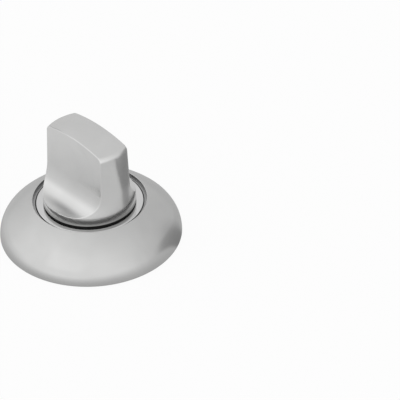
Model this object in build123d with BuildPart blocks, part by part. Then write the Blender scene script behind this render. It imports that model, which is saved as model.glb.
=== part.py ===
# Thumb turn for a bathroom or toilet door: a knob with a scooped blade on a round domed rose.
# Sizes are in millimetres. The origin is on the turning axis at the back of the rose, where it
# meets the door. +Z points out of the door, and +Y is up the door, along the blade at rest.

import os
from math import acos, asin, cos, degrees, radians, sin, sqrt, tan

from build123d import *

# Rose cover
rose_radius = 26.0
rim_height = 0.5          # where the cover is widest, above the door
rim_inset = 0.5           # how far the bottom of the rim draws in
shoulder_radius = 8.6     # of the steep curve between the rim and the crown
shoulder_tilt = 45.3      # degrees from upright, where the steep curve meets the crown
cover_wall = 1.6
lip_depth = 2.4           # depth of the thick edge round the hole
ledge_depth = 1.05        # how far the step inside the hole lies below its edge
ledge_width = 0.7
hole_bevel = 0.2
thread_wall = 2.05        # from the widest point of the cover to its thread
thread_length = 3.2
thread_relief = 0.2
thread_clearance = 0.1

# Knob
knob_radius = 13.25
knob_height = 35.2        # top of the crown above the door
knob_top_radius = 12.9
blade_thickness = 9.7     # across the two flats, at the top
blade_draft = 1.8         # degrees, how fast the blade thickens towards the foot
foot_height = 2.15        # straight band below the scoops
scoop_radius = 7.7
crown_radius_long = 48.0
crown_radius_across = 50.0
end_height = 33.0         # of the top edge at the two ends of the blade
end_ball_radius = 19.3    # of the ball that rounds the crown down to this edge
foot_bevel = 0.2
blade_bevel = 0.3

# Shank of the knob
shank_radius = 6.0
shank_flats = 10.6        # across the two flats that key the stop washer
shank_clearance = 0.5     # from the shank's end to the back plate
groove_lift = 0.5         # from the shank's end to the groove
groove_depth = 0.5
end_play = 0.1            # between faces that turn on each other
turning_gap = 0.05        # radial, between the shank and its bush
washer_gap = 0.1          # radial, between the shank and each washer

# Insert ring
insert_show = 1.95        # width of polished ring that shows round the knob
insert_thickness = 1.6
insert_drop = 0.85        # below the edge of the cover's hole
insert_gap = 0.3          # radial, to the ledge of the cover
insert_bevel = 0.15
insert_overhang = 0.3     # past the boss that carries the ring
collar_wall = 1.3
collar_depth = 1.2
seat_gap = 0.05           # between fixed pieces that push together

# Bush
flange_inset = 0.25       # how far the black flange draws in below the knob
flange_thickness = 0.5
bush_wall = 1.15

# Washers and retaining ring
washer_radius = 9.3
thrust_thickness = 0.6
spring_thickness = 0.35
spring_bend = 0.25
stop_thickness = 1.0
ring_thickness = 1.0
ring_width = 1.9
ring_opening = 50.0       # degrees
ring_middle = 270.0       # degrees, where the ring is open
ear_radius = 1.4
ear_hole_radius = 0.6

# Stop
turn_angle = 90.0
lug_angle = 135.0         # where the lug stands at rest
lug_width = 24.0          # degrees
lug_reach = 1.9
lug_clearance = 0.1
stop_clearance = 0.5      # degrees, at each end of the turn

# Base
pocket_clearance = 0.6
screw_spacing = 38.0
screw_hole_radius = 2.15
screw_head_radius = 3.7
screw_head_depth = 1.2
cored_depth = 1.8
cored_width = 4.6
cored_angle = 48.0
cored_count = 4
rib_count = 6
rib_height = 3.0
rib_thickness = 1.6
rib_root = 0.8            # how far a rib starts inside the boss

# Back plate and its screws
plate_thickness = 1.0
plate_radius = 15.4
plate_gap = 0.1
spindle_hole_gap = 0.6
plate_screw_count = 3
plate_screw_circle = 13.0
plate_screw_radius = 1.0
plate_screw_head = 1.9
plate_screw_length = 4.6
plate_screw_start = 30.0  # degrees
countersink = 90.0        # degrees
drive_width = 0.4
drive_depth = 0.5
drive_length = 2.0

# Spindle and its pin
spindle_side = 6.0
spindle_length = 56.0
spindle_edge = 0.4
spindle_tip = 1.0
socket_gap = 0.03
socket_roof = 1.0         # metal between the socket and the foot's underside
pin_depth = 2.7           # below the top of the spindle
pin_radius = 1.0
pin_wall = 0.3
pin_slot = 0.5
pin_gap = 0.03
pin_inset = 0.2

# Radii that follow from the fits
insert_radius = knob_radius + insert_show
ledge_radius = insert_radius + insert_gap
hole_radius = ledge_radius + ledge_width
boss_radius = insert_radius - insert_overhang
thread_radius = rose_radius - thread_wall
base_radius = thread_radius - thread_clearance
bush_bore = shank_radius + turning_gap
bush_radius = bush_bore + bush_wall
insert_bore = bush_radius + seat_gap
collar_radius = insert_bore + collar_wall
pocket_radius = washer_radius + pocket_clearance
lug_radius = washer_radius + lug_reach
groove_radius = shank_radius - groove_depth

# The cover's outline is two arcs that run into each other: the steep one stands upright at the
# rim, and the crown is part of a ball with its centre on the axis.
shoulder_centre = rose_radius - shoulder_radius
crown_radius = shoulder_centre / sin(radians(shoulder_tilt)) + shoulder_radius
crown_centre = rim_height - shoulder_centre / tan(radians(shoulder_tilt))
crown_end = hole_radius + hole_bevel
rose_height = crown_centre + sqrt(crown_radius**2 - crown_end**2)

# Heights of the pieces, stacked from the door outwards
shank_end = plate_thickness + shank_clearance
groove_bottom = shank_end + groove_lift
ring_bottom = groove_bottom + end_play / 2
stop_bottom = ring_bottom + ring_thickness
stop_top = stop_bottom + stop_thickness
spring_bottom = stop_top + end_play / 2
spring_top = spring_bottom + spring_thickness + spring_bend
thrust_bottom = spring_top + end_play / 2
pocket_depth = thrust_bottom + thrust_thickness
insert_top = rose_height - insert_drop
insert_bottom = insert_top - insert_thickness
flange_top = insert_top + flange_thickness
knob_bottom = flange_top + end_play / 2
spindle_top = knob_bottom - socket_roof

def keyed_circle(radius, flats):
    """A circle with two flats, as the end of the shank and the hole of the stop washer have."""
    with BuildSketch(mode=Mode.PRIVATE) as outline:
        Circle(radius)
        Rectangle(flats, 2 * radius, mode=Mode.INTERSECT)
    return outline.sketch


def pie(radius, middle, width):
    """A slice of a circle round the axis, with its middle and its width in degrees."""
    with BuildSketch(mode=Mode.PRIVATE) as outline:
        with BuildLine():
            edge = CenterArc((0, 0), radius, middle - width / 2, width)
            Polyline(edge @ 1, (0, 0), edge @ 0)
        make_face()
    return outline.sketch


# Rose cover: a domed shell with a thread inside its rim and a stepped hole
with BuildPart() as rose_cover:
    thread_top = thread_length + thread_relief
    lip_bottom = rose_height - lip_depth
    ledge_height = rose_height - ledge_depth
    inner_crown = crown_radius - cover_wall
    inner_shoulder = shoulder_radius - cover_wall
    tilt = radians(shoulder_tilt)
    crown_slope = degrees(asin(crown_end / crown_radius))
    with BuildSketch(Plane.XZ):
        with BuildLine():
            shoulder = CenterArc(
                (shoulder_centre, rim_height), shoulder_radius, 0, 90 - shoulder_tilt
            )
            crown = CenterArc(
                (0, crown_centre), crown_radius, 90 - shoulder_tilt, shoulder_tilt - crown_slope
            )
            Polyline(
                crown @ 1,
                (hole_radius, rose_height - hole_bevel),
                (hole_radius, ledge_height),
                (ledge_radius, ledge_height),
                (ledge_radius, lip_bottom),
                (sqrt(inner_crown**2 - (lip_bottom - crown_centre) ** 2), lip_bottom),
                (shoulder_centre + inner_shoulder * sin(tilt), rim_height + inner_shoulder * cos(tilt)),
                (
                    shoulder_centre + sqrt(inner_shoulder**2 - (thread_top - rim_height) ** 2),
                    thread_top,
                ),
                (thread_radius, thread_top),
                (thread_radius, 0),
                (rose_radius - rim_inset, 0),
                shoulder @ 0,
            )
        make_face()
    revolve(axis=Axis.Z)

# Insert ring: a polished disc with a collar that drops into the boss
with BuildPart() as insert_ring:
    with BuildSketch(Plane.XY.offset(insert_bottom)):
        Circle(insert_radius)
    extrude(amount=insert_thickness)
    chamfer(insert_ring.edges().group_by(Axis.Z)[-1], insert_bevel)
    with BuildSketch(Plane.XY.offset(insert_bottom)):
        Circle(collar_radius)
    extrude(amount=-collar_depth)
    with BuildSketch(Plane.XY.offset(insert_top)):
        Circle(insert_bore)
    extrude(amount=-insert_thickness - collar_depth, mode=Mode.SUBTRACT)

# Front bush: a black sleeve with a thin flange that shows under the knob
with BuildPart() as front_bush:
    bush_bottom = pocket_depth + seat_gap
    with BuildSketch(Plane.XY.offset(bush_bottom)):
        Circle(bush_radius)
    extrude(amount=insert_top - bush_bottom)
    with BuildSketch(Plane.XY.offset(insert_top)):
        Circle(knob_radius - flange_inset)
    extrude(amount=flange_thickness)
    with BuildSketch(Plane.XY.offset(bush_bottom)):
        Circle(bush_bore)
    extrude(amount=flange_top - bush_bottom, mode=Mode.SUBTRACT)

# Base: a cast disc with a boss, hidden under the cover
with BuildPart() as sub_rose:
    with BuildSketch():
        Circle(base_radius)
    extrude(amount=thread_length)
    with BuildSketch(Plane.XY.offset(thread_length)):
        Circle(boss_radius)
    extrude(amount=insert_bottom - thread_length)

    # Ribs from the boss down to the rim
    rib_start = boss_radius - rib_root
    with BuildSketch(Plane.XZ):
        with BuildLine():
            Polyline(
                (rib_start, thread_length),
                (base_radius - rib_thickness, thread_length),
                (rib_start, thread_length + rib_height),
                close=True,
            )
        make_face()
    rib = extrude(amount=rib_thickness / 2, both=True, mode=Mode.PRIVATE)
    with PolarLocations(0, rib_count, start_angle=180 / rib_count):
        add(rib)

    # Bore for the bush, with a seat for the collar of the insert ring
    with BuildSketch(Plane.XY.offset(insert_bottom)):
        Circle(insert_bore)
    extrude(amount=-insert_bottom, mode=Mode.SUBTRACT)
    with BuildSketch(Plane.XY.offset(insert_bottom)):
        Circle(collar_radius + seat_gap)
    extrude(amount=-collar_depth - seat_gap, mode=Mode.SUBTRACT)

    # Pocket for the washers, with the recess that stops the lug at each end of its turn
    with BuildSketch():
        Circle(pocket_radius)
    extrude(amount=pocket_depth, mode=Mode.SUBTRACT)
    with BuildSketch():
        stop_span = turn_angle + lug_width + 2 * stop_clearance
        add(pie(lug_radius + lug_clearance, lug_angle - turn_angle / 2, stop_span))
    extrude(amount=stop_top + end_play, mode=Mode.SUBTRACT)
    with BuildSketch():
        Circle(plate_radius + plate_gap)
    extrude(amount=plate_thickness, mode=Mode.SUBTRACT)

    # Holes for the screws through the door, and room for their heads
    with BuildSketch():
        with GridLocations(screw_spacing, 0, 2, 1):
            Circle(screw_hole_radius)
    extrude(amount=thread_length, mode=Mode.SUBTRACT)
    with BuildSketch(Plane.XY.offset(thread_length - screw_head_depth)):
        with GridLocations(screw_spacing, 0, 2, 1):
            Circle(screw_head_radius)
    extrude(amount=screw_head_depth + rib_height, mode=Mode.SUBTRACT)

    # Threaded holes for the screws of the back plate
    with BuildSketch():
        with PolarLocations(plate_screw_circle, plate_screw_count, start_angle=plate_screw_start):
            Circle(plate_screw_radius + seat_gap)
    extrude(amount=plate_screw_length + end_play, mode=Mode.SUBTRACT)

    # Cored hollows in the back, between the screw holes
    with BuildSketch():
        for index in range(cored_count):
            middle = (index + 0.5) * 360 / cored_count
            start = middle - cored_angle / 2
            line = CenterArc((0, 0), screw_spacing / 2, start, cored_angle, mode=Mode.PRIVATE)
            SlotArc(line, cored_width)
    extrude(amount=cored_depth, mode=Mode.SUBTRACT)

# Thrust washer: nylon, against the roof of the pocket
with BuildPart() as thrust_washer:
    with BuildSketch(Plane.XY.offset(thrust_bottom)):
        Circle(washer_radius)
        Circle(shank_radius + washer_gap, mode=Mode.SUBTRACT)
    extrude(amount=thrust_thickness)

# Spring washer: a steel washer bent about one line
with BuildPart() as spring_washer:
    with BuildSketch(Plane.XZ):
        with BuildLine():
            middle_top = (0, spring_top)
            low_top = spring_top - spring_bend
            upper = ThreePointArc((-washer_radius, low_top), middle_top, (washer_radius, low_top))
            lower = ThreePointArc(
                (-washer_radius, spring_bottom),
                (0, spring_bottom + spring_bend),
                (washer_radius, spring_bottom),
            )
            Line(upper @ 0, lower @ 0)
            Line(upper @ 1, lower @ 1)
        make_face()
    extrude(amount=washer_radius, both=True)
    with BuildSketch(Plane.XY.offset(spring_bottom)):
        Circle(washer_radius - seat_gap)
        Circle(shank_radius + washer_gap, mode=Mode.SUBTRACT)
    extrude(amount=spring_top - spring_bottom, mode=Mode.INTERSECT)

# Stop washer: keyed to the shank, with a lug
with BuildPart() as stop_washer:
    with BuildSketch(Plane.XY.offset(stop_bottom)):
        Circle(washer_radius)
        add(pie(lug_radius, lug_angle, lug_width))
        add(keyed_circle(shank_radius + washer_gap, shank_flats + washer_gap), mode=Mode.SUBTRACT)
    extrude(amount=stop_thickness)

# Retaining ring: an open ring with two eared ends, snapped into the groove of the shank
with BuildPart() as retaining_ring:
    with BuildSketch(Plane.XY.offset(ring_bottom)):
        ear_circle = groove_radius + seat_gap + ear_radius
        Circle(groove_radius + ring_width)
        add(pie(pocket_radius, ring_middle, ring_opening), mode=Mode.SUBTRACT)
        ear_places = PolarLocations(
            ear_circle, 2, start_angle=ring_middle - ring_opening / 2, angular_range=ring_opening,
            endpoint=True,
        )
        with ear_places:
            Circle(ear_radius)
        Circle(groove_radius + seat_gap, mode=Mode.SUBTRACT)
        with ear_places:
            Circle(ear_hole_radius, mode=Mode.SUBTRACT)
    extrude(amount=ring_thickness)

# Knob: a turned form cut to a blade, in one piece with its shank
with BuildPart() as knob:
    with BuildSketch(Plane.XZ):
        with BuildLine():
            ball_centre = end_height - sqrt(end_ball_radius**2 - knob_top_radius**2)
            ball_start = degrees(acos(knob_top_radius / end_ball_radius))
            ball = CenterArc((0, ball_centre), end_ball_radius, ball_start, 90 - ball_start)
            Polyline(
                ball @ 1,
                (0, knob_bottom),
                (knob_radius - foot_bevel, knob_bottom),
                (knob_radius, knob_bottom + foot_bevel),
                ball @ 0,
            )
        make_face()
    revolve(axis=Axis.Z)

    # Crowned top: an arc along the blade, turned about a line below that runs the same way.
    # The ball stays where it lies lower, at the two ends.
    crown_axis = knob_height - crown_radius_across
    crown_half = 1.2 * knob_radius
    crown_drop = crown_radius_long - sqrt(crown_radius_long**2 - crown_half**2)
    with BuildSketch(Plane.YZ):
        with BuildLine():
            over = ThreePointArc(
                (-crown_half, knob_height - crown_drop),
                (0, knob_height),
                (crown_half, knob_height - crown_drop),
            )
            Polyline(over @ 1, (crown_half, crown_axis), (-crown_half, crown_axis), over @ 0)
        make_face()
    revolve(axis=Axis((0, 0, crown_axis), (0, 1, 0)), mode=Mode.INTERSECT)

    # Flats that thicken a little downwards, then run out over the foot in a scoop
    scoop_end = knob_bottom + foot_height
    scoop_start = scoop_end + scoop_radius
    blade_growth = (knob_height - scoop_start) * tan(radians(blade_draft))
    with BuildSketch(Plane.XZ):
        with BuildLine():
            flat = Line(
                (blade_thickness / 2, knob_height),
                (blade_thickness / 2 + blade_growth, scoop_start),
            )
            scoop = JernArc(flat @ 1, flat % 1, scoop_radius, 90 - blade_draft)
            far = 2 * knob_radius
            Polyline(scoop @ 1, (far, (scoop @ 1).Y), (far, knob_height), flat @ 0)
        make_face()
        mirror(about=Plane.YZ)
    extrude(amount=crown_half, both=True, mode=Mode.SUBTRACT)
    blade_edges = knob.edges().filter_by_position(Axis.Z, scoop_end - blade_bevel, knob_height)
    chamfer(blade_edges, blade_bevel)

    # Shank with two flats at its end, a groove for the retaining ring and a square socket
    with BuildSketch(Plane.XY.offset(shank_end)):
        Circle(shank_radius)
    extrude(amount=knob_bottom - shank_end)
    with BuildSketch(Plane.XY.offset(shank_end)):
        Circle(shank_radius)
        add(keyed_circle(shank_radius, shank_flats), mode=Mode.SUBTRACT)
    extrude(amount=stop_top + end_play - shank_end, mode=Mode.SUBTRACT)
    with BuildSketch(Plane.XY.offset(groove_bottom)):
        Circle(shank_radius)
        Circle(groove_radius, mode=Mode.SUBTRACT)
    extrude(amount=ring_thickness + end_play, mode=Mode.SUBTRACT)
    with BuildSketch(Plane.XY.offset(shank_end)):
        Rectangle(spindle_side + 2 * socket_gap, spindle_side + 2 * socket_gap)
    extrude(amount=spindle_top + end_play - shank_end, mode=Mode.SUBTRACT)
    pin_height = spindle_top - pin_depth
    with BuildSketch(Plane.YZ.offset(-shank_radius)):
        with Locations((0, pin_height)):
            Circle(pin_radius + pin_gap)
    extrude(amount=2 * shank_radius, mode=Mode.SUBTRACT)

# Spindle: a square bar that turns the lock, with a hole for its pin
with BuildPart() as spindle:
    with BuildSketch(Plane.XY.offset(spindle_top)):
        Rectangle(spindle_side, spindle_side)
    extrude(amount=-spindle_length)
    chamfer(spindle.edges().filter_by(Axis.Z), spindle_edge)
    # The far end is turned to a bevel
    spindle_corner = spindle_side / 2 * sqrt(2)
    spindle_end = spindle_top - spindle_length
    with BuildSketch(Plane.XZ):
        with BuildLine():
            Polyline(
                (0, spindle_end),
                (spindle_corner - spindle_tip, spindle_end),
                (spindle_corner, spindle_end + spindle_tip),
                (spindle_corner, spindle_top),
                (0, spindle_top),
                close=True,
            )
        make_face()
    revolve(axis=Axis.Z, mode=Mode.INTERSECT)
    with BuildSketch(Plane.YZ.offset(-spindle_side)):
        with Locations((0, pin_height)):
            Circle(pin_radius + pin_gap)
    extrude(amount=2 * spindle_side, mode=Mode.SUBTRACT)

# Spindle pin: a slotted spring pin across the shank
with BuildPart() as spindle_pin:
    pin_half = shank_radius - pin_inset
    with BuildSketch(Plane.YZ.offset(-pin_half)):
        with Locations((0, pin_height)):
            Circle(pin_radius)
            Circle(pin_radius - pin_wall, mode=Mode.SUBTRACT)
        with Locations((0, pin_height + pin_radius)):
            Rectangle(pin_slot, 2 * pin_radius, mode=Mode.SUBTRACT)
    extrude(amount=2 * pin_half)

# Back plate: closes the pocket from behind
back_face = Plane(origin=(0, 0, 0), x_dir=(1, 0, 0), z_dir=(0, 0, -1))
spindle_hole = spindle_corner + spindle_hole_gap
with BuildPart() as back_plate:
    with BuildSketch():
        Circle(plate_radius)
        Circle(spindle_hole, mode=Mode.SUBTRACT)
    extrude(amount=plate_thickness)
    with Locations(back_face):
        with PolarLocations(plate_screw_circle, plate_screw_count, start_angle=-plate_screw_start):
            CounterSinkHole(
                plate_screw_radius + seat_gap, plate_screw_head, counter_sink_angle=countersink
            )


def plate_screw(angle):
    """A countersunk screw of the back plate, with a cross recess in its head."""
    x = plate_screw_circle * cos(radians(angle))
    y = plate_screw_circle * sin(radians(angle))
    head = Plane(origin=(x, y, seat_gap), x_dir=(1, 0, 0), z_dir=(0, 0, 1))
    head_radius = plate_screw_head - 2 * seat_gap
    head_height = (head_radius - plate_screw_radius) / tan(radians(countersink / 2))
    with BuildPart() as screw:
        with BuildSketch(head):
            Circle(head_radius)
        extrude(amount=head_height, taper=countersink / 2)
        with BuildSketch(head):
            Circle(plate_screw_radius)
        extrude(amount=plate_screw_length - seat_gap)
        with BuildSketch(head):
            Rectangle(drive_length, drive_width)
            Rectangle(drive_width, drive_length)
        extrude(amount=drive_depth, mode=Mode.SUBTRACT)
    return screw


pieces = {
    "rose_cover": rose_cover,
    "insert_ring": insert_ring,
    "front_bush": front_bush,
    "sub_rose": sub_rose,
    "thrust_washer": thrust_washer,
    "back_plate": back_plate,
    "knob": knob,
    "spindle": spindle,
    "spindle_pin": spindle_pin,
    "spring_washer": spring_washer,
    "stop_washer": stop_washer,
    "retaining_ring": retaining_ring,
}
for index in range(plate_screw_count):
    angle = plate_screw_start + index * 360 / plate_screw_count
    pieces[f"plate_screw_{index + 1}"] = plate_screw(angle)

os.makedirs("parts", exist_ok=True)
for name, piece in pieces.items():
    piece.part.label = name
    export_step(piece.part, f"parts/{name}.step")
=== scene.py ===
# %% [markdown]
# A thumb turn for a bathroom door
#
# The object is a small knob on a round, domed rose. The solids come from the frame: they are the
# real pieces at their real size. Here they get their finish: satin nickel on the knob and the
# cover, polished chrome on the ring between them, black nylon under the knob, and plain zinc,
# steel and nylon on the pieces behind, which show when the turn is looked at from the door's side.
# Three pieces that everyone looks at are made again as finer meshes: the cover, the ring and the
# knob. The solids have small flat bevels on their edges, and the real ones are polished round.

# %% Load the frame
from math import acos, asin, atan2, cos, degrees, hypot, pi, radians, sin, sqrt, tan

import bmesh
import bpy
from mathutils import Matrix, Vector


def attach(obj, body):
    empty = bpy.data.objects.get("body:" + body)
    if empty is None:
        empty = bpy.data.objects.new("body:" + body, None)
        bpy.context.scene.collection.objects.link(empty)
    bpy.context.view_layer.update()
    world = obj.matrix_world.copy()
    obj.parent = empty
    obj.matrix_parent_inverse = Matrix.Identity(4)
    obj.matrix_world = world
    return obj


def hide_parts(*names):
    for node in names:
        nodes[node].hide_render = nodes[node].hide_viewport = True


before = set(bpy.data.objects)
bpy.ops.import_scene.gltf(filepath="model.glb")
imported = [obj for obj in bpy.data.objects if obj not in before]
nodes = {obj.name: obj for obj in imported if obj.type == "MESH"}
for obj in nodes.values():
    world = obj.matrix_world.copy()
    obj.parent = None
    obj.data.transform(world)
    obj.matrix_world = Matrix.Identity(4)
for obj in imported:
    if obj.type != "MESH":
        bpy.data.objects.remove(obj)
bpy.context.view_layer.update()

scene = bpy.context.scene

# %% [markdown]
# Camera
#
# A small object is best shown with a long lens from about a metre away, because then its round
# parts stay true ellipses. The camera is written as a direction, a distance and the place of the
# object in the picture. It is turned round the object, raised above the floor, and rolled a
# little. The aim is moved sideways, not the lens, so no lens shift is needed.

# %% Set the camera
PICTURE = 400                     # pixels on each side
SENSOR = 36.0                     # millimetres across
AZIMUTH = radians(-40.7)          # the blade is seen from this side
ELEVATION = radians(36.24)
ROLL = radians(-1.43)
DISTANCE = 1.0
PIXELS_PER_METRE = 3500           # size of the object in the picture, at the turning axis
AXIS_PIXEL = (91.27, 231.96)      # where the origin falls in the picture
NEAREST, FURTHEST = 0.01, 20      # metres between which the camera sees


def camera_axes(azimuth, elevation, roll):
    """Right, up and forward vectors of a camera that looks down on the origin."""
    away = Vector((-sin(azimuth), cos(azimuth), 0))
    right = Vector((cos(azimuth), sin(azimuth), 0))
    forward = away * cos(elevation) - Vector((0, 0, sin(elevation)))
    up = right.cross(forward)
    return right * cos(roll) + up * sin(roll), up * cos(roll) - right * sin(roll), forward


right, up, forward = camera_axes(AZIMUTH, ELEVATION, ROLL)
aside = (AXIS_PIXEL[0] - PICTURE / 2) / PIXELS_PER_METRE
below = (AXIS_PIXEL[1] - PICTURE / 2) / PIXELS_PER_METRE
camera = bpy.data.objects.new("camera", bpy.data.cameras.new("camera"))
scene.collection.objects.link(camera)
camera.data.sensor_width = SENSOR
camera.data.lens = SENSOR * PIXELS_PER_METRE * DISTANCE / PICTURE
camera.data.clip_start = NEAREST
camera.data.clip_end = FURTHEST
axes = Matrix((right, up, -forward)).transposed().to_4x4()
camera.matrix_world = Matrix.Translation(-(forward * DISTANCE + right * aside - up * below)) @ axes
scene.camera = camera
scene.view_settings.view_transform = "Standard"
print("lens", round(camera.data.lens, 1), "mm")

# %% [markdown]
# Node helpers
#
# Every finish below is a small tree of shader nodes. Writing each node out takes a line for every
# property and link, so four short helpers keep those trees readable: one adds any node and sets
# its inputs, and three add the kinds that come up most, for sums, ranges and mixed colours.

# %% Make the node helpers
NOISE_RANGE = (0.3, 0.7)          # nearly all of a noise lies between these


def add(tree, kind, inputs=None, **settings):
    """Add a node, set its properties, and set or link its inputs by name or number."""
    node = tree.nodes.new(kind)
    for name, value in settings.items():
        setattr(node, name, value)
    for key, value in (inputs or {}).items():
        if isinstance(value, bpy.types.NodeSocket):
            tree.links.new(value, node.inputs[key])
        else:
            node.inputs[key].default_value = value
    return node


def calculate(tree, operation, first, second=0.0):
    """One Math node, and its output."""
    node = add(tree, "ShaderNodeMath", {0: first, 1: second}, operation=operation)
    return node.outputs[0]


def spread(tree, value, low, high, new_low, new_high):
    """Map a value from one range to another, clamped."""
    node = add(tree, "ShaderNodeMapRange", {0: value, 1: low, 2: high, 3: new_low, 4: new_high})
    return node.outputs[0]


def blend(tree, share, first, second):
    """Mix two colours, given as colours or sockets, and return the mixed colour."""
    node = add(tree, "ShaderNodeMix", {0: share, 6: first, 7: second}, data_type="RGBA")
    return node.outputs[2]


print("helpers", [helper.__name__ for helper in (add, calculate, spread, blend)])

# %% [markdown]
# Material and group helpers
#
# A material starts with its Principled BSDF, whose plain numbers are set on the shader's own
# sockets. An effect that several materials share is a node group: it is built once, and each
# material places it with its own values. Three more helpers start a material, start a group and
# place a group.

# %% Make the material and group helpers


def new_material(name, **constants):
    """A material with a Principled BSDF whose constant sockets are set, and its tree."""
    material = bpy.data.materials.new(name)
    material.use_nodes = True
    tree = material.node_tree
    shader = tree.nodes["Principled BSDF"]
    for socket, value in constants.items():
        shader.inputs[socket.replace("_", " ")].default_value = value
    return material, tree, shader


def new_group(name, inputs, outputs):
    """A shader node group with named inputs, given with their defaults, and named outputs."""
    group = bpy.data.node_groups.new(name, "ShaderNodeTree")
    for socket, default in inputs.items():
        made = group.interface.new_socket(socket, in_out="INPUT", socket_type="NodeSocketFloat")
        made.default_value = default
    for socket, kind in outputs.items():
        group.interface.new_socket(socket, in_out="OUTPUT", socket_type=kind)
    return group, group.nodes.new("NodeGroupInput").outputs, group.nodes.new("NodeGroupOutput")


def use_group(tree, group, **inputs):
    """Place a node group in a material, with its own values, and return its outputs."""
    node = tree.nodes.new("ShaderNodeGroup")
    node.node_tree = group
    for name, value in inputs.items():
        node.inputs[name.replace("_", " ")].default_value = value
    return node.outputs


print("helpers", [helper.__name__ for helper in (new_material, new_group, use_group)])

# %% [markdown]
# One side of the room is brighter
#
# Metal has no colour of its own apart from a tint, so what it reflects matters more than what
# lights it. In this studio the wall on the left is white and the one on the right is grey, and
# brightness falls evenly from one to the other. A dark doorway stands on the grey side, and the
# metal shows it as a dark patch on the rose. Helpers measure how far a direction points to the
# dim side or to the doorway, and turn a number into a level of brightness. Levels are written as
# pairs of a value and the brightness there.

# %% Make the helpers for brightness


def sideways(azimuth):
    """A level direction, by its angle from the X axis in degrees."""
    return cos(radians(azimuth)), sin(radians(azimuth)), 0


DIM_SIDE = sideways(15)
DOORWAY = sideways(-22)
DOORWAY_LEVELS = ((0.89, 1.0), (0.935, 0.80), (0.966, 0.57), (1.0, 0.54))


def toward(tree, direction, side):
    """How far a direction points to one side of the room, from -1 to 1."""
    node = add(tree, "ShaderNodeVectorMath", {0: direction, 1: side}, operation="DOT_PRODUCT")
    return node.outputs["Value"]


def level_ramp(tree, value, levels):
    """A curve of brightness, given as (value, level) pairs from the lowest value to the highest."""
    low, high = levels[0][0], levels[-1][0]
    ramp = add(tree, "ShaderNodeValToRGB", {0: spread(tree, value, low, high, 0.0, 1.0)})
    points = ramp.color_ramp.elements
    for index, (where, level) in enumerate(levels):
        place = (where - low) / (high - low)
        point = points[index] if index < 2 else points.new(place)
        point.position = place
        point.color = (level, level, level, 1)
    return ramp.outputs["Color"]


def past_doorway(tree, level, direction):
    """A level of brightness, made darker where a direction points to the doorway."""
    dark = level_ramp(tree, toward(tree, direction, DOORWAY), DOORWAY_LEVELS)
    return calculate(tree, "MULTIPLY", level, dark)


print("doorway is", round(degrees(acos(DOORWAY_LEVELS[0][0]))), "degrees wide to each side")

# %% [markdown]
# Floor
#
# The object stands on plain white, so the camera sees the floor as white, with a part left in it
# for the object's soft shadow. Metal sees the floor too, low round its sides. For those reflections
# the floor glows with painted levels: painted shade that is dark close by and gets its full level
# further out, and painted darkening where the rim looks towards the doorway.
# From behind, the sheet lets the camera through, because the back of the rose and the spindle
# lie under it.

# %% Make the floor
FLOOR_SIZE = 1.6
PAPER_SCALE, PAPER_TONES = 900.0, (0.92, 0.94)
WHITE_FOR_CAMERA = 0.93                # share of pure white that the camera sees
UNDER_ROSE = 0.0255                    # metres from the axis that the rose covers, where it is dark
RIM_POINT = (0.0078, -0.0175, 0)       # below the place on the rose that mirrors the doorway
# painted shade: the level that reflections see on the floor next to the rose
SHADED_LEVEL = 0.50                    # of the floor next to the rose
# painted levels that reflections see on the open floor, lighter towards the white wall
FLOOR_LEVELS = ((-1.0, 0.98), (-0.707, 0.86), (-0.26, 0.73), (0.26, 0.61), (0.7, 0.57), (1.0, 0.55))
# how the painted shade fades out, by metres from the axis
OUT_OF_SHADE = ((0.026, 0.0), (0.028, 0.12), (0.032, 0.38), (0.038, 0.62), (0.044, 0.79),
                (0.057, 1.0))          # by metres from the axis


def show_one_side(tree, surface):
    """Show a shader on the front of a sheet and nothing on its back."""
    behind = add(tree, "ShaderNodeNewGeometry").outputs["Backfacing"]
    clear = add(tree, "ShaderNodeBsdfTransparent")
    both = add(tree, "ShaderNodeMixShader", {0: behind, 1: surface, 2: clear.outputs[0]})
    tree.links.new(both.outputs[0], tree.nodes["Material Output"].inputs["Surface"])


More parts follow.
